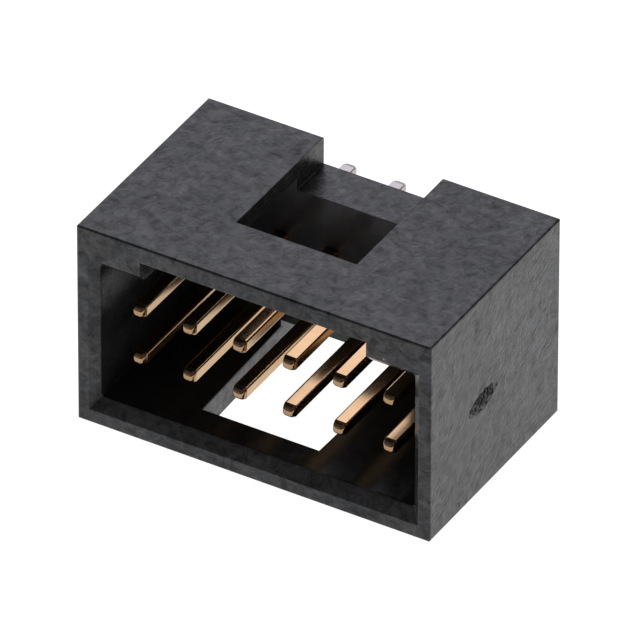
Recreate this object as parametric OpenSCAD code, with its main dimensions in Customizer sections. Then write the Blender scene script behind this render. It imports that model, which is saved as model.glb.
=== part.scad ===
// Shrouded pin header for a flat-cable socket: two rows of square contacts in a
// moulded box that is open at the mouth, with a key recess and two notched walls.
//
// Frame: the header lies on its lower long wall. X runs along the rows, the mouth
// faces -Y, the solder tails point to +Y, and +Z is up.
// The origin is the middle of the floor under the whole header.

/* [Contacts] */
// Distance between neighbouring contacts in a row
pitch = 2; // [1.9:0.01:2.6]
// Contacts in each row
columns = 6; // [5:1:12]
// Distance between the two rows
row_pitch = 2; // [1.8:0.01:2.2]
// Width of the square contact
contact_w = 0.5; // [0.4:0.01:0.6]
// Bevel along the contact's four long edges
contact_bevel = 0.06; // [0.02:0.01:0.1]
// Distance from the mouth's rim back to the contact's nose
contact_setback = 0.62; // [0.3:0.01:1.5]
// Height of the flat left between the two round edges of the contact's ends
end_flat_h = 0.06; // [0.02:0.01:0.2]
// Width of the same flat between the rounded sides of the contact's ends
end_flat_w = 0.22; // [0.02:0.01:0.3]
// Length of the tail beyond the board face
tail_l = 3; // [2:0.1:5]
// Gap between the contact and its hole on each side, taken up by the barbs
hole_gap = 0.03; // [0.01:0.01:0.06]
// Length of the barb that holds the contact in the base
barb_l = 0.9; // [0.5:0.05:1.2]

/* [Walls] */
// Thickness of the two end walls
end_wall = 0.78; // [0.6:0.01:1.2]
// Thickness of the long wall that the header lies on
lower_wall = 1.04; // [0.8:0.01:1.4]
// Thickness of the long wall with the key recess
upper_wall = 1.58; // [1.4:0.01:2]
// Depth of the cavity from the rim to the base
cavity_d = 7; // [6.2:0.1:9]
// Height of the cavity between the two long walls
cavity_h = 5.6; // [5.4:0.05:6.4]
// Distance from the end contact's axis to the end wall
end_gap = 1.27; // [1:0.01:1.8]
// Thickness of the base that holds the contacts
base_t = 1.85; // [1.5:0.05:2.6]
// Radius of the box's outer edges
edge_r = 0.08; // [0.03:0.01:0.2]
// Radius of the cavity's long corners
corner_r = 0.12; // [0.05:0.01:0.25]
// Depth behind the rim of the bevels that lead the socket into the mouth
lead_in_d = 0.32; // [0.1:0.01:0.5]
// Width of the bevel on the two end walls
lead_in_ends = 0.32; // [0.1:0.01:0.4]
// Height of the bevel on the upper wall
lead_in_upper = 0.34; // [0.1:0.01:0.5]
// Height of the bevel on the lower wall
lead_in_lower = 0.49; // [0.1:0.01:0.6]

/* [Key recess] */
// Width of the recess for the socket's key
key_w = 9; // [6:0.1:9.4]
// Depth of the recess into the upper wall
key_depth = 0.92; // [0.6:0.01:1.1]

/* [Upper notch] */
// Width of the notch in the upper wall
upper_notch_w = 4.8; // [3:0.1:5.6]
// Distance from the rim to the upper notch
upper_notch_setback = 2.95; // [1.5:0.05:4]
// Depth of the notch where it crosses the base
upper_notch_depth = 1.13; // [0.7:0.01:1.5]

/* [Lower notch] */
// Width of the notch in the lower wall at its closed end
lower_notch_w = 4.7; // [3:0.1:5.6]
// Shift of the lower notch along the rows
lower_notch_shift = -0.53; // [-1:0.01:1]
// Distance from the rim to the lower notch
lower_notch_setback = 1.42; // [1:0.01:3]
// Depth of the notch where it crosses the base
lower_notch_depth = 1.3; // [1.1:0.01:1.5]
// Widening of the lower notch on each side at the board face
lower_notch_flare = 0.2; // [0:0.01:0.3]

/* [Gate mark] */
// Length of the torn gate's pit in the end wall
gate_l = 2; // [1:0.1:2.4]
// Height of the gate's pit at its middle
gate_h = 0.9; // [0.3:0.05:1.2]
// Depth of the gate's pit at its middle
gate_depth = 0.06; // [0.03:0.01:0.2]
// Share of its height that the pit loses at each end
gate_taper = 0.4; // [0:0.05:0.6]
// Height of the gate's middle above the floor
gate_z = 3.84; // [2:0.01:6]
// Distance from the rim to the gate's middle
gate_setback = 3.6; // [2:0.1:5]
// Slope of the gate's pit along the wall
gate_tilt = 6; // [0:1:45]

/* [Hidden] */
$fn = 48;
ROWS = 2;
CUT = 1; // how far a cut runs past the face that it opens
GATE_DISHES = 5; // shallow dishes that make up the gate's pit

box_w = (columns - 1) * pitch + 2 * (end_gap + end_wall);
box_d = cavity_d + base_t;
box_h = lower_wall + cavity_h + upper_wall;
rim_y = -(box_d + tail_l) / 2;
base_y = rim_y + cavity_d;
ceiling_z = lower_wall + cavity_h;
rows_z = lower_wall + cavity_h / 2;
hole_w = contact_w + 2 * hole_gap;

function contact_x(n) = (floor(n / ROWS) - (columns - 1) / 2) * pitch;
function contact_z(n) = rows_z + (n % ROWS - (ROWS - 1) / 2) * row_pitch;
function contact_name(n) = str("contact_", n < 9 ? "0" : "", n + 1);

// A flat shape in X and Z, pushed along +Y from y = 0.
module along_y(length) {
    rotate([90, 0, 0]) translate([0, 0, -length]) linear_extrude(length) children();
}

// A flat shape in Y and Z, pushed along X on both sides of x = 0.
module across_x(width) {
    rotate([90, 0, 90]) translate([0, 0, -width / 2]) linear_extrude(width) children();
}

// A rectangle with round corners, from its low corner.
module rounded_rectangle(size, r) {
    translate([r, 0]) square([size.x - 2 * r, size.y]);
    translate([0, r]) square([size.x, size.y - 2 * r]);
    for (x = [r, size.x - r], y = [r, size.y - r])
        translate([x, y]) circle(r);
}

// The box's outside, with every edge rounded.
module outer_block() {
    intersection() {
        translate([-box_w / 2, rim_y, 0]) along_y(box_d) rounded_rectangle([box_w, box_h], edge_r);
        translate([-box_w / 2, rim_y, 0]) linear_extrude(box_h) rounded_rectangle([box_w, box_d], edge_r);
        translate([0, rim_y, 0]) across_x(box_w) rounded_rectangle([box_d, box_h], edge_r);
    }
}

// The space that the socket fills, down to the base.
module cavity() {
    inner_w = box_w - 2 * end_wall;
    translate([-inner_w / 2, rim_y - CUT, lower_wall])
        along_y(cavity_d + CUT) rounded_rectangle([inner_w, cavity_h], corner_r);
}

// The widened mouth: a four-sided funnel, as two wedges that share its mitred corners.
module mouth_funnel() {
    half_w = box_w / 2 - end_wall;
    stretch = (lead_in_d + CUT) / lead_in_d;
    wide = half_w + lead_in_ends * stretch;
    translate([0, rim_y, 0]) intersection() {
        translate([0, 0, -box_h]) linear_extrude(3 * box_h) polygon([
            [-half_w, lead_in_d], [half_w, lead_in_d], [wide, -CUT], [-wide, -CUT],
        ]);
        across_x(2 * box_w) polygon([
            [lead_in_d, lower_wall], [lead_in_d, ceiling_z],
            [-CUT, ceiling_z + lead_in_upper * stretch],
            [-CUT, lower_wall - lead_in_lower * stretch],
        ]);
    }
}

// The channel in the upper wall for the socket's key.
module key_recess() {
    translate([-key_w / 2, rim_y - CUT, rows_z])
        cube([key_w, cavity_d + CUT, ceiling_z + key_depth - rows_z]);
}

// The notch in the upper wall, open towards the board.
module upper_notch() {
    translate([-upper_notch_w / 2, rim_y + upper_notch_setback, box_h - upper_notch_depth])
        cube([upper_notch_w, box_d, upper_notch_depth + CUT]);
}

// The notch in the lower wall, a little wider towards the board.
module lower_notch() {
    half_w = lower_notch_w / 2;
    depth = box_d - lower_notch_setback;
    translate([lower_notch_shift, rim_y + lower_notch_setback, -CUT])
        linear_extrude(lower_notch_depth + CUT) polygon([
            [-half_w, 0], [half_w, 0],
            [half_w + lower_notch_flare, depth], [half_w + lower_notch_flare, depth + CUT],
            [-half_w - lower_notch_flare, depth + CUT], [-half_w - lower_notch_flare, depth],
        ]);
}

// The square hole that each contact is pressed into.
module contact_hole() {
    translate([-hole_w / 2, base_y - CUT, -hole_w / 2]) cube([hole_w, base_t + 2 * CUT, hole_w]);
}

// The shallow pit left where the moulding gate tore off: a sloping row of dishes.
module gate_pit() {
    end_r = gate_h / 2 * (1 - gate_taper);
    translate([box_w / 2, rim_y + gate_setback, gate_z]) rotate([gate_tilt, 0, 0])
        for (i = [0 : GATE_DISHES - 1]) {
            t = 2 * i / (GATE_DISHES - 1) - 1;
            narrowing = 1 - gate_taper * t * t;
            translate([0, t * (gate_l / 2 - end_r), 0])
                dish(gate_h / 2 * narrowing, gate_depth * narrowing);
        }
}

// A dish of this radius and depth, sunk into the face at x = 0.
module dish(r, depth) {
    sphere_r = (r * r + depth * depth) / (2 * depth);
    translate([sphere_r - depth, 0, 0]) sphere(sphere_r);
}

module housing() {
    color("#2c2d31") difference() {
        outer_block();
        cavity();
        mouth_funnel();
        key_recess();
        upper_notch();
        lower_notch();
        for (n = [0 : ROWS * columns - 1])
            translate([contact_x(n), 0, contact_z(n)]) contact_hole();
        gate_pit();
    }
}

// The bevelled square section of a contact.
module contact_section() {
    outer = contact_w / 2;
    inner = outer - contact_bevel;
    polygon([
        [outer, inner], [inner, outer], [-inner, outer], [-outer, inner],
        [-outer, -inner], [-inner, -outer], [inner, -outer], [outer, -inner],
    ]);
}

// The pair of ramped barbs that fill the hole from side to side.
module barbs() {
    half_w = hole_w / 2;
    half_l = barb_l / 2;
    height = contact_w - 2 * contact_bevel;
    translate([0, 0, -height / 2]) linear_extrude(height) polygon([
        [-half_w, -half_l + hole_gap], [-contact_w / 2, -half_l], [contact_w / 2, -half_l],
        [half_w, -half_l + hole_gap], [half_w, half_l - hole_gap], [contact_w / 2, half_l],
        [-contact_w / 2, half_l], [-half_w, half_l - hole_gap],
    ]);
}

// One straight contact: mating nose in the mouth, barbs in the base, tail for the board.
// Both its ends are rounded, seen from the side and, less so, seen from above.
module contact(n) {
    length = box_d - contact_setback + tail_l;
    half_w = contact_w / 2;
    color("#d9b877") translate([contact_x(n), rim_y + contact_setback, contact_z(n)]) {
        intersection() {
            along_y(length) contact_section();
            across_x(contact_w) translate([0, -half_w])
                rounded_rectangle([length, contact_w], half_w - end_flat_h / 2);
            translate([-half_w, 0, -half_w]) linear_extrude(contact_w)
                rounded_rectangle([contact_w, length], half_w - end_flat_w / 2);
        }
        translate([0, cavity_d - contact_setback + base_t / 2, 0]) barbs();
    }
}

housing();
for (n = [0 : ROWS * columns - 1])
    contact(n);
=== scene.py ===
"""Studio picture of a two-row shrouded pin header lying on a white table.

Metres, in the part's own frame: X along the rows, the mouth faces -Y, +Z is up.
"""
import math

import bpy
from mathutils import Matrix, Vector, noise as fractal


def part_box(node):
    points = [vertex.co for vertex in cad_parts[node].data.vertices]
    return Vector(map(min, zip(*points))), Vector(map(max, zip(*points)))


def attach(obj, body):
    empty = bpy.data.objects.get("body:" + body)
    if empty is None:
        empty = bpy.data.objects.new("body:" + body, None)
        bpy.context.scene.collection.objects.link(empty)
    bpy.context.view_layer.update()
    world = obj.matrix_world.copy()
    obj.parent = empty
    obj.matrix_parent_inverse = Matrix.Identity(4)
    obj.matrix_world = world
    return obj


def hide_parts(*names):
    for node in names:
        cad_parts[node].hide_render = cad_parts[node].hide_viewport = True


MM = 0.001

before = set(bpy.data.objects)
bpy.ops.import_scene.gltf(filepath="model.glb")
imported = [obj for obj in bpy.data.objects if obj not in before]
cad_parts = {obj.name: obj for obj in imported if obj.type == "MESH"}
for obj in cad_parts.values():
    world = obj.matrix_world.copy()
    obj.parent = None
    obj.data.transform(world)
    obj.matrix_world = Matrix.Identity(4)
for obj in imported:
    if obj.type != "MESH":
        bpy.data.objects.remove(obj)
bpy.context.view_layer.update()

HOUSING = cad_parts["housing"]
CONTACT_NODES = sorted(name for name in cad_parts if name.startswith("contact_"))


# ---------------------------------------------------------------- node helpers

NOISE_RANGE = (0.3, 0.7)
EDGE_DOT = (0.995, 0.90)   # cosine between soft and sharp normals: on a flat, on an edge


def new_material(name):
    material = bpy.data.materials.new(name)
    material.use_nodes = True
    tree = material.node_tree
    tree.nodes.clear()
    return material, tree


def add(tree, kind, inputs=None, **settings):
    """One shader node. Inputs are keyed by name or index: a socket is linked, a number is set."""
    node = tree.nodes.new(kind)
    for key, value in settings.items():
        setattr(node, key, value)
    for key, value in (inputs or {}).items():
        if isinstance(value, bpy.types.NodeSocket):
            tree.links.new(value, node.inputs[key])
        else:
            node.inputs[key].default_value = value
    return node


def math_node(tree, operation, a, b=0.0):
    return add(tree, "ShaderNodeMath", {0: a, 1: b}, operation=operation).outputs[0]


def noise(tree, vector, scale, detail=3.0, roughness=0.55, distortion=0.0):
    return add(tree, "ShaderNodeTexNoise", {
        "Vector": vector, "Scale": scale, "Detail": detail,
        "Roughness": roughness, "Distortion": distortion,
    }).outputs["Fac"]


def ramp(tree, factor, low, high, to_low=0.0, to_high=1.0):
    return add(tree, "ShaderNodeMapRange", {
        "Value": factor, "From Min": low, "From Max": high,
        "To Min": to_low, "To Max": to_high,
    }, clamp=True).outputs[0]


def spread(tree, field, to_low, to_high):
    """Stretches the range that holds nearly all of a noise field."""
    return ramp(tree, field, *NOISE_RANGE, to_low, to_high)


def product(tree, *factors):
    result = factors[0]
    for factor in factors[1:]:
        result = math_node(tree, "MULTIPLY", result, factor)
    return result


def blend(tree, factor, a, b):
    """a where the factor is 0, b where it is 1."""
    return add(tree, "ShaderNodeMix", {0: factor, 2: a, 3: b}, data_type="FLOAT").outputs[0]


def blend_colour(tree, factor, a, b):
    node = tree.nodes.new("ShaderNodeMix")
    node.data_type = "RGBA"
    colour_inputs = [s for s in node.inputs if s.type == "RGBA"]
    tree.links.new(factor, node.inputs[0])
    for socket, value in zip(colour_inputs, (a, b)):
        if isinstance(value, bpy.types.NodeSocket):
            tree.links.new(value, socket)
        else:
            socket.default_value = (*value, 1.0)
    return next(s for s in node.outputs if s.type == "RGBA")


def object_mm(tree, scale=(1.0, 1.0, 1.0), turn=(0.0, 0.0, 0.0)):
    """Object coordinates in millimetres, turned and then stretched."""
    coordinates = add(tree, "ShaderNodeTexCoord").outputs["Object"]
    turned = add(tree, "ShaderNodeMapping", {
        "Vector": coordinates, "Rotation": turn,
    }, vector_type="POINT").outputs[0]
    return add(tree, "ShaderNodeMapping", {
        "Vector": turned, "Scale": [s / MM for s in scale],
    }, vector_type="POINT").outputs[0]


def edge_wear(tree, radius):
    """The normal with soft edges, and a field that is 1 along the edges and 0 on the flats."""
    soft = add(tree, "ShaderNodeBevel", {"Radius": radius}, samples=6).outputs[0]
    sharp = add(tree, "ShaderNodeNewGeometry").outputs["Normal"]
    same = add(tree, "ShaderNodeVectorMath", {0: soft, 1: sharp},
               operation="DOT_PRODUCT").outputs["Value"]
    return soft, ramp(tree, same, *EDGE_DOT)


# ------------------------------------------------------------------- materials

FIBRE_TURNS = ((0.0, 0.0, 0.35), (0.3, 0.5, -0.8), (-0.4, -0.6, 1.75))
FIBRE_STRETCH = (1.3, 5.5, 5.5)
WITNESS_Z = 2.95           # mm, faint line that the mould left on the end wall's rim
WITNESS_HALF = 0.025
WITNESS_SHADE = 0.55
PLASTIC_BASE = (0.024, 0.024, 0.025)
PLASTIC_WORN = (0.10, 0.10, 0.105)
PLASTIC_DUST = (0.40, 0.40, 0.40)
PLASTIC_TINTS = ((0.90, 0.95, 1.0), (1.0, 0.95, 0.99))
PLASTIC_GLOSS = 0.325      # specular level where the shade is 1
PLASTIC_IOR = 1.5
PLASTIC_EDGE = 0.05 * MM
PLASTIC_RELIEF = 0.03 * MM
INSIDE_EVENNESS = 0.75     # how far the polished cavity loses the mottling
INSIDE_RELIEF = 0.2
# darkness of the gate scar: the dull ripped plastic, plus painted shade in its crack and deeper hollows
TORN_AND_PAINTED_SHADE = 0.08
TORN_ROUGHNESS = 0.2


def fibre_marks(tree):
    """Short streaks of glass fibre whose direction changes from patch to patch."""
    fields = [noise(tree, object_mm(tree, FIBRE_STRETCH, turn), 1.5,
                    detail=3.0, roughness=0.62, distortion=0.6) for turn in FIBRE_TURNS]
    first = ramp(tree, noise(tree, object_mm(tree, turn=(0.4, 0.0, 0.2)), 0.75, detail=1.0), 0.44, 0.56)
    second = ramp(tree, noise(tree, object_mm(tree, turn=(0.0, 0.9, 0.0)), 0.9, detail=1.0), 0.46, 0.58)
    return blend(tree, second, blend(tree, first, fields[0], fields[1]), fields[2])


def witness_line(tree):
    """1 on the thin line across the rim of the end wall, 0 elsewhere."""
    axes = add(tree, "ShaderNodeSeparateXYZ", {0: object_mm(tree)}).outputs
    off = math_node(tree, "ABSOLUTE", math_node(tree, "SUBTRACT", axes["Z"], WITNESS_Z))
    return product(tree, ramp(tree, off, WITNESS_HALF, 0.5 * WITNESS_HALF),
                   ramp(tree, axes["X"], 6.2, 6.4), ramp(tree, axes["Y"], -5.5, -5.6))


def polished_inside(tree):
    """1 in the cavity, which a polished core moulded, and 0 on the outside."""
    axes = add(tree, "ShaderNodeSeparateXYZ", {0: object_mm(tree)}).outputs
    aside = math_node(tree, "ABSOLUTE", axes["X"])
    return product(tree, ramp(tree, aside, 6.32, 6.25), ramp(tree, axes["Y"], -5.7, -5.5),
                   ramp(tree, axes["Y"], 1.12, 1.09), ramp(tree, axes["Z"], 0.95, 1.03),
                   ramp(tree, axes["Z"], 7.60, 7.57))


def plastic():
    """Black moulding filled with glass: fibre marks, mottling, soft tints, worn edges and dust, and
    painted shade in the crack of the gate scar.
    """
    material, tree = new_material("glass_filled_plastic")
    plain = object_mm(tree)
    fibres = fibre_marks(tree)
    mottle = noise(tree, plain, 2.3, detail=6.0, roughness=0.70, distortion=0.6)
    clouds = noise(tree, plain, 0.55, detail=2.0)
    torn = add(tree, "ShaderNodeAttribute", attribute_name="torn").outputs["Fac"]
    grain = noise(tree, plain, 26.0, detail=2.0, roughness=0.6)
    soft, wear = edge_wear(tree, PLASTIC_EDGE)
    worn = product(tree, wear, ramp(tree, mottle, 0.40, 0.62))

    shade = product(tree, spread(tree, fibres, 0.78, 1.22), spread(tree, mottle, 0.40, 1.60),
                    spread(tree, clouds, 0.88, 1.12), spread(tree, grain, 0.88, 1.12))
    inside = polished_inside(tree)
    shade = blend(tree, product(tree, inside, INSIDE_EVENNESS), shade, 1.0)
    # the gate scar's darkness: partly the dull ripped plastic, partly painted shade in the crack and
    # deeper hollows
    shade = product(tree, shade, ramp(tree, torn, 0.0, 1.0, 1.0, TORN_AND_PAINTED_SHADE))
    shade = product(tree, shade, ramp(tree, witness_line(tree), 0.0, 1.0, 1.0, WITNESS_SHADE))
    base = add(tree, "ShaderNodeVectorMath", {0: PLASTIC_BASE, "Scale": shade},
               operation="SCALE").outputs[0]
    base = blend_colour(tree, product(tree, worn, 0.35), base, PLASTIC_WORN)

    specks = add(tree, "ShaderNodeTexVoronoi", {"Vector": plain, "Scale": 1.15}, feature="F1").outputs
    rare = ramp(tree, add(tree, "ShaderNodeSeparateColor", {0: specks["Color"]}).outputs[0], 0.90, 0.91)
    dust = product(tree, rare, ramp(tree, specks["Distance"], 0.045, 0.025))
    base = blend_colour(tree, product(tree, dust, 0.8), base, PLASTIC_DUST)

    tint = blend_colour(tree, ramp(tree, noise(tree, plain, 0.8, detail=2.0), 0.42, 0.58),
                        *PLASTIC_TINTS)
    rough = math_node(tree, "ADD", spread(tree, mottle, 0.15, 0.24), spread(tree, grain, -0.03, 0.03))
    rough = math_node(tree, "ADD", rough, product(tree, torn, TORN_ROUGHNESS))
    height = math_node(tree, "ADD", product(tree, fibres, 0.5), product(tree, mottle, 0.7))
    height = math_node(tree, "ADD", height, product(tree, grain, 0.10))
    height = product(tree, height, ramp(tree, inside, 0.0, 1.0, 1.0, INSIDE_RELIEF))
    bump = add(tree, "ShaderNodeBump", {
        "Height": height, "Strength": 1.0, "Distance": PLASTIC_RELIEF, "Normal": soft,
    }).outputs[0]
    shader = add(tree, "ShaderNodeBsdfPrincipled", {
        "Base Color": base, "Roughness": rough, "IOR": PLASTIC_IOR, "Normal": bump,
        "Specular IOR Level": product(tree, shade, PLASTIC_GLOSS), "Specular Tint": tint,
    }).outputs[0]
    add(tree, "ShaderNodeOutputMaterial", {"Surface": shader})
    return material


TIN_FROM_Y = 1.9           # mm, inside the base, where the gold flash gives way to tin
TIN_FULL_Y = 2.3
NOSE_TO_Y = -5.055         # mm, where the rounded nose ends; its gold is painted darker as painted shade
NOSE_BLEND = 0.05
GOLD = ((0.585, 0.385, 0.222), (0.54, 0.35, 0.195))   # in patches
GOLD_SPECK = (0.45, 0.28, 0.145)
# painted shade: the darker gold given to the rounded nose
GOLD_NOSE_SHADE = (0.34, 0.215, 0.12)
GOLD_WORN = (0.55, 0.40, 0.27)
TIN = (0.42, 0.385, 0.395)
TIN_ROUGHNESS = 0.20       # added to the gold's
METAL_EDGE = 0.015 * MM
METAL_RELIEF = 0.0015 * MM


def contact_metal():
    """Drawn square wire: gold flash at the mating end, tin on the tail."""
    material, tree = new_material("gold_and_tin_contact")
    y = add(tree, "ShaderNodeSeparateXYZ", {0: object_mm(tree)}).outputs["Y"]
    tin = ramp(tree, y, TIN_FROM_Y, TIN_FULL_Y)
    drawn = noise(tree, object_mm(tree, scale=(9.0, 0.5, 9.0)), 1.0, detail=3.0, roughness=0.55)
    spots = noise(tree, object_mm(tree), 2.2, detail=3.0)
    grain = noise(tree, object_mm(tree), 30.0, detail=2.0)
    gold = blend_colour(tree, ramp(tree, spots, 0.35, 0.65), *GOLD)
    gold = blend_colour(tree, ramp(tree, grain, 0.60, 0.75), gold, GOLD_SPECK)
    # painted shade: the gold on the rounded nose is painted darker, as if its dome were in shade
    nose_shade = ramp(tree, y, NOSE_TO_Y, NOSE_TO_Y - NOSE_BLEND)
    gold = blend_colour(tree, product(tree, nose_shade, 0.9), gold, GOLD_NOSE_SHADE)
    colour = blend_colour(tree, tin, gold, TIN)
    rough = math_node(tree, "ADD", spread(tree, drawn, 0.11, 0.15), product(tree, tin, TIN_ROUGHNESS))
    soft, wear = edge_wear(tree, METAL_EDGE)
    colour = blend_colour(tree, product(tree, wear, ramp(tree, spots, 0.45, 0.6), 0.4),
                          colour, GOLD_WORN)
    height = math_node(tree, "ADD", product(tree, drawn, 0.6), product(tree, grain, 0.12))
    bump = add(tree, "ShaderNodeBump", {
        "Height": height, "Strength": 0.5, "Distance": METAL_RELIEF, "Normal": soft,
    }).outputs[0]
    shader = add(tree, "ShaderNodeBsdfPrincipled", {
        "Base Color": colour, "Metallic": 1.0, "Roughness": rough, "Normal": bump,
    }).outputs[0]
    add(tree, "ShaderNodeOutputMaterial", {"Surface": shader})
    return material


WHITE = (1.0, 1.0, 1.0, 1.0)
TABLE_GREY = (0.35, 0.35, 0.35, 1.0)


def table_white():
    """White table that also glows, so that it stays white around the part."""
    material, tree = new_material("white_table")
    diffuse = add(tree, "ShaderNodeBsdfDiffuse", {"Color": TABLE_GREY}).outputs[0]
    glow = add(tree, "ShaderNodeEmission", {"Color": WHITE, "Strength": 1.0}).outputs[0]
    both = add(tree, "ShaderNodeAddShader", {0: diffuse, 1: glow}).outputs[0]
    add(tree, "ShaderNodeOutputMaterial", {"Surface": both})
    return material


def dress(piece, material):
    """Gives the whole piece one material."""
    for place in piece.material_slots:
        place.material = material
    if not piece.material_slots:
        piece.data.materials.append(material)


def mesh_piece(name, points, faces, material):
    """A smooth-shaded mesh that rides with the header."""
    mesh = bpy.data.meshes.new(name)
    mesh.from_pydata(points, [], faces)
    mesh.validate()
    mesh.polygons.foreach_set("use_smooth", [True] * len(mesh.polygons))
    piece = bpy.data.objects.new(name, mesh)
    bpy.context.collection.objects.link(piece)
    dress(piece, material)
    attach(piece, "root")
    return piece


# --------------------------------------------------------------------- contacts

ARC_STEPS = 5              # steps around each rounded long edge
END_STEPS = 14             # rings on each rounded end
SHEAR = math.tan(math.radians(2))    # one side of the wire leans out of square
TWIST = math.radians(2)              # turn of each wire about its length
EDGE_R = 0.065 * MM        # radius of the wire's long edges
END_L = 0.25 * MM          # length of each rounded end
END_STEP = 0.003 * MM      # shoulder where the pressed end begins
END_SIDE = (0.40 * MM, 2.4)    # reach and power of the end's outline, seen from the side
END_PLAN = (0.37 * MM, 3.4)    # the same, seen from above
SUPPORT = 0.02 * MM        # spacing of the rows that keep the flats flat
BASE_T = 1.85 * MM         # thickness of the base that the barbs sit in
BARB_HALF_L = 0.45 * MM
ROUNDEST = 0.85            # largest corner radius, as a share of the smaller half width
BARB_RAMP = 0.03 * MM


def ring(x, y, z, half_x, half_z, r):
    """A rectangle with round corners and a row of points beside each corner."""
    across = min(SUPPORT, 0.4 * (half_x - r))
    up = min(SUPPORT, 0.4 * (half_z - r))
    points = []
    for quarter, (sx, sz) in enumerate(((1, 1), (-1, 1), (-1, -1), (1, -1))):
        corner_x, corner_z = sx * (half_x - r), sz * (half_z - r)
        arc = []
        for step in range(ARC_STEPS + 1):
            angle = (quarter + step / ARC_STEPS) * math.pi / 2
            arc.append((corner_x + r * math.cos(angle), corner_z + r * math.sin(angle)))
        (ax, az), (bx, bz) = arc[0], arc[-1]
        if quarter % 2 == 0:
            before, after = (ax, az - up * sz), (bx - across * sx, bz)
        else:
            before, after = (ax - across * sx, az), (bx, bz - up * sz)
        points += [before] + arc + [after]
    turned = []
    for px, pz in points:
        px -= SHEAR * (half_z - pz) * (1 + px / half_x) / 2
        turned.append((x + px * math.cos(TWIST) + pz * math.sin(TWIST), y,
                       z + pz * math.cos(TWIST) - px * math.sin(TWIST)))
    return turned


def end_share(depth, reach, power):
    """Share of its full width that the end has at this depth: the cap of a superellipse."""
    def curve(d):
        return (1 - (1 - d / reach) ** power) ** (1 / power)
    return curve(depth) / curve(END_L)


def wire(name, node):
    """The whole contact, as rings from the nose, past the barbs, to the tip of the tail."""
    low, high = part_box(node)
    x, z = (low.x + high.x) / 2, (low.z + high.z) / 2
    half = (high.z - low.z) / 2
    barb_half = (high.x - low.x) / 2
    barb_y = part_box("housing")[1].y - BASE_T / 2
    stations = []
    for step in range(1, END_STEPS + 1):
        depth = END_L * (1 - math.cos(step / END_STEPS * math.pi / 2))
        across = (half - END_STEP) * end_share(depth, *END_PLAN)
        up = (half - END_STEP) * end_share(depth, *END_SIDE)
        roundest = ROUNDEST * min(across, up)
        r = EDGE_R + (roundest - EDGE_R) * (1 - depth / END_L)
        stations.append((depth, across, up, min(r, roundest)))
    nose = [(low.y + d, *rest) for d, *rest in stations]
    tail = [(high.y - d, *rest) for d, *rest in reversed(stations)]
    shank = (half, half, EDGE_R)
    nose_y, tail_y = nose[-1][0], tail[0][0]
    middle = [(nose_y + END_STEP, *shank), (nose_y + 2 * SUPPORT, *shank)]
    for side in (-1, 1):
        outer = (barb_y + side * BARB_HALF_L, *shank)
        inner = (barb_y + side * (BARB_HALF_L - BARB_RAMP), barb_half, half, EDGE_R)
        middle += [outer, inner] if side < 0 else [inner, outer]
    middle += [(tail_y - 2 * SUPPORT, *shank), (tail_y - END_STEP, *shank)]
    rings = [ring(x, y, z, *rest) for y, *rest in nose + middle + tail]
    count = len(rings[0])
    points = [p for r in rings for p in r]
    faces = [(i * count + j, i * count + (j + 1) % count,
              (i + 1) * count + (j + 1) % count, (i + 1) * count + j)
             for i in range(len(rings) - 1) for j in range(count)]
    faces.append(tuple(range(count - 1, -1, -1)))
    faces.append(tuple(range((len(rings) - 1) * count, len(rings) * count)))
    piece = mesh_piece(name, points, faces, METAL)
    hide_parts(node)


# ------------------------------------------------------------------- torn gate

GATE_MIDDLE = Vector((7.05, -2.325, 3.84)) * MM
GATE_HALF_L = 1.04         # mm, as are the other sizes of the scar
GATE_HALF_H = 0.47
GATE_SLOPE = math.radians(6)
GATE_GRID = (150, 72)
PIT_L, PIT_H, PIT_DEPTH, PIT_TAPER, PIT_DISHES = 2.0, 0.9, 0.06, 0.4, 5
SCAR_FADE = 0.16           # width of the scar's soft edge, as a share of its half height
SCAR_SKIN = 0.002          # least depth of the torn plastic
PIT_GAP = 0.003            # it stays this far in front of the pit's surface
SCAR_OUTLINE = ((-1.0, 0.0), (-0.92, 0.42), (-0.6, 0.66), (-0.15, 0.95), (0.25, 0.88),
                (0.6, 0.60), (0.8, 0.32), (1.0, 0.08))   # place along it, share of its half height


def scar_share(along):
    """Share of the scar's half height at this place along it."""
    for (a, low), (b, high) in zip(SCAR_OUTLINE, SCAR_OUTLINE[1:]):
        if a <= along <= b:
            return low + (high - low) * (along - a) / (b - a)
    return 0.0


def pit_depth(y, z):
    """Depth of the housing's row of dishes at this place, 0 beside them."""
    deepest = 0.0
    end_r = PIT_H / 2 * (1 - PIT_TAPER)
    for i in range(PIT_DISHES):
        t = 2 * i / (PIT_DISHES - 1) - 1
        narrowing = 1 - PIT_TAPER * t * t
        r, depth = PIT_H / 2 * narrowing, PIT_DEPTH * narrowing
        sphere_r = (r * r + depth * depth) / (2 * depth)
        off = (y - t * (PIT_L / 2 - end_r)) ** 2 + z * z
        if off < r * r:
            deepest = max(deepest, math.sqrt(sphere_r ** 2 - off) - (sphere_r - depth))
    return deepest


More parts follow.
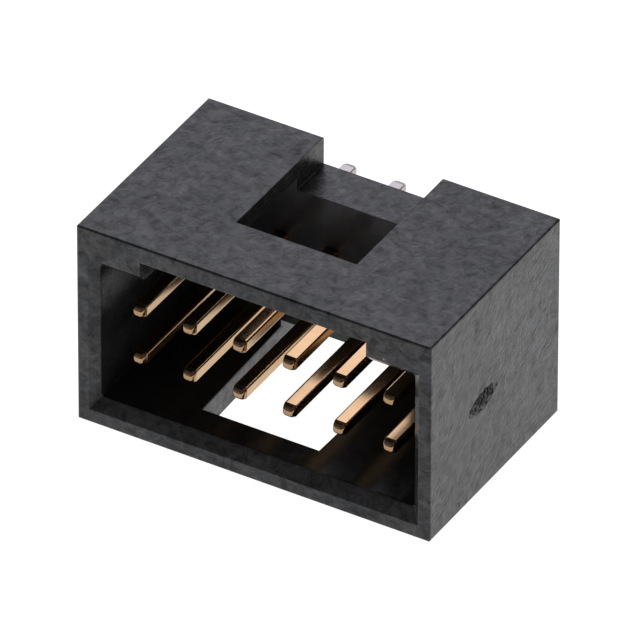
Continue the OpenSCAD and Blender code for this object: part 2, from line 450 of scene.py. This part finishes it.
def torn_gate(material):
    """Ragged plastic in the pit where the gate broke off the end wall; its darkness is partly the
    ripped plastic's own and partly painted shade in the crack and deeper hollows.
    """
    columns, rows = GATE_GRID
    points, torn = [], []
    for i in range(columns):
        along = 2 * i / (columns - 1) - 1
        for j in range(rows):
            up = 2 * j / (rows - 1) - 1
            y, z = along * GATE_HALF_L, up * GATE_HALF_H
            place = Vector((y, z, 0.0))
            wander = 0.22 * fractal.noise(place * 3.5) + 0.10 * fractal.noise(place * 11.0)
            inside = (scar_share(along) - abs(up) + wander) / SCAR_FADE
            inside = min(max(inside, 0.0), 1.0)
            crack = math.exp(-((scar_share(along) - abs(up) + wander - 0.12) / 0.13) ** 2)
            ragged = abs(fractal.fractal(place * 4.5, 0.9, 2.2, 4))
            depth = SCAR_SKIN + inside * (0.004 + 0.070 * ragged + 0.030 * crack)
            depth = min(depth, max(pit_depth(y, z) - PIT_GAP, SCAR_SKIN))
            turned_y = y * math.cos(GATE_SLOPE) - z * math.sin(GATE_SLOPE)
            turned_z = y * math.sin(GATE_SLOPE) + z * math.cos(GATE_SLOPE)
            points.append(GATE_MIDDLE + Vector((-depth, turned_y, turned_z)) * MM)
            # how dark the scar is painted: partly the plastic's own dullness, partly painted shade that
            # follows the crack and the deeper hollows
            torn.append(inside * min(0.30 + 0.9 * crack + 2.2 * ragged, 1.0))
    faces = [(i * rows + j, (i + 1) * rows + j, (i + 1) * rows + j + 1, i * rows + j + 1)
             for i in range(columns - 1) for j in range(rows - 1)]
    piece = mesh_piece("torn_gate", points, faces, material)
    share = piece.data.attributes.new("torn", "FLOAT", "POINT")
    share.data.foreach_set("value", torn)


PLASTIC = plastic()
METAL = contact_metal()
dress(HOUSING, PLASTIC)
torn_gate(PLASTIC)
for number, contact_node in enumerate(CONTACT_NODES, 1):
    wire(f"wire_{number:02d}", contact_node)


# ----------------------------------------------------------------- floor, light

TABLE_SIZE = 2.0
TABLE_GAP = 0.02 * MM      # below the header, so that no faces coincide
ROOM_GLOW = 0.10
MIDDLE = Vector((0.0, -0.001, 0.004))
SKY_BLUE = (0.93, 0.925, 1.0)

bpy.ops.mesh.primitive_plane_add(size=TABLE_SIZE, location=(0.0, 0.0, -TABLE_GAP))
floor = bpy.context.object
floor.name = "table"
dress(floor, table_white())

world = bpy.data.worlds.new("white_tent")
bpy.context.scene.world = world
world.use_nodes = True
world.node_tree.nodes["Background"].inputs["Color"].default_value = WHITE
world.node_tree.nodes["Background"].inputs["Strength"].default_value = ROOM_GLOW


def soft_box(name, place, size, power, colour=WHITE[:3]):
    """A rectangular lamp that faces the middle of the header."""
    light = bpy.data.lights.new(name, "AREA")
    light.shape = "RECTANGLE"
    light.size, light.size_y = size
    light.energy = power
    light.color = colour
    lamp = bpy.data.objects.new(name, light)
    bpy.context.collection.objects.link(lamp)
    lamp.location = place
    lamp.rotation_mode = "QUATERNION"
    lamp.rotation_quaternion = (MIDDLE - Vector(place)).to_track_quat("-Z", "Y")


soft_box("back_box", (-0.10, 0.17, 0.15), (0.30, 0.20), 0.30, SKY_BLUE)
soft_box("top_box", (0.0, 0.06, 0.26), (0.16, 0.16), 0.06)
soft_box("right_box", (0.22, 0.10, 0.06), (0.14, 0.12), 0.07)
soft_box("front_box", (-0.14, -0.29, 0.15), (0.24, 0.07), 0.018)


# ----------------------------------------------------------------------- camera

CAMERA_PLACE = Vector((0.22505, -0.38243, 0.32664))
CAMERA_RIGHT = Vector((0.860519, 0.509416, 0.001398))
CAMERA_DOWN = Vector((0.301095, -0.506400, -0.808023))
CAMERA_AHEAD = Vector((-0.410912, 0.695740, -0.589150))
LENS_MM = 893.6
SENSOR_MM = 36.0
CLIP = (0.02, 5.0)

camera_data = bpy.data.cameras.new("camera")
camera_data.lens = LENS_MM
camera_data.sensor_width = SENSOR_MM
camera_data.clip_start, camera_data.clip_end = CLIP
camera = bpy.data.objects.new("camera", camera_data)
bpy.context.collection.objects.link(camera)
turn = Matrix((CAMERA_RIGHT, -CAMERA_DOWN, -CAMERA_AHEAD)).transposed()
camera.matrix_world = Matrix.Translation(CAMERA_PLACE) @ turn.to_4x4()
bpy.context.scene.camera = camera
bpy.context.scene.view_settings.view_transform = "Standard"
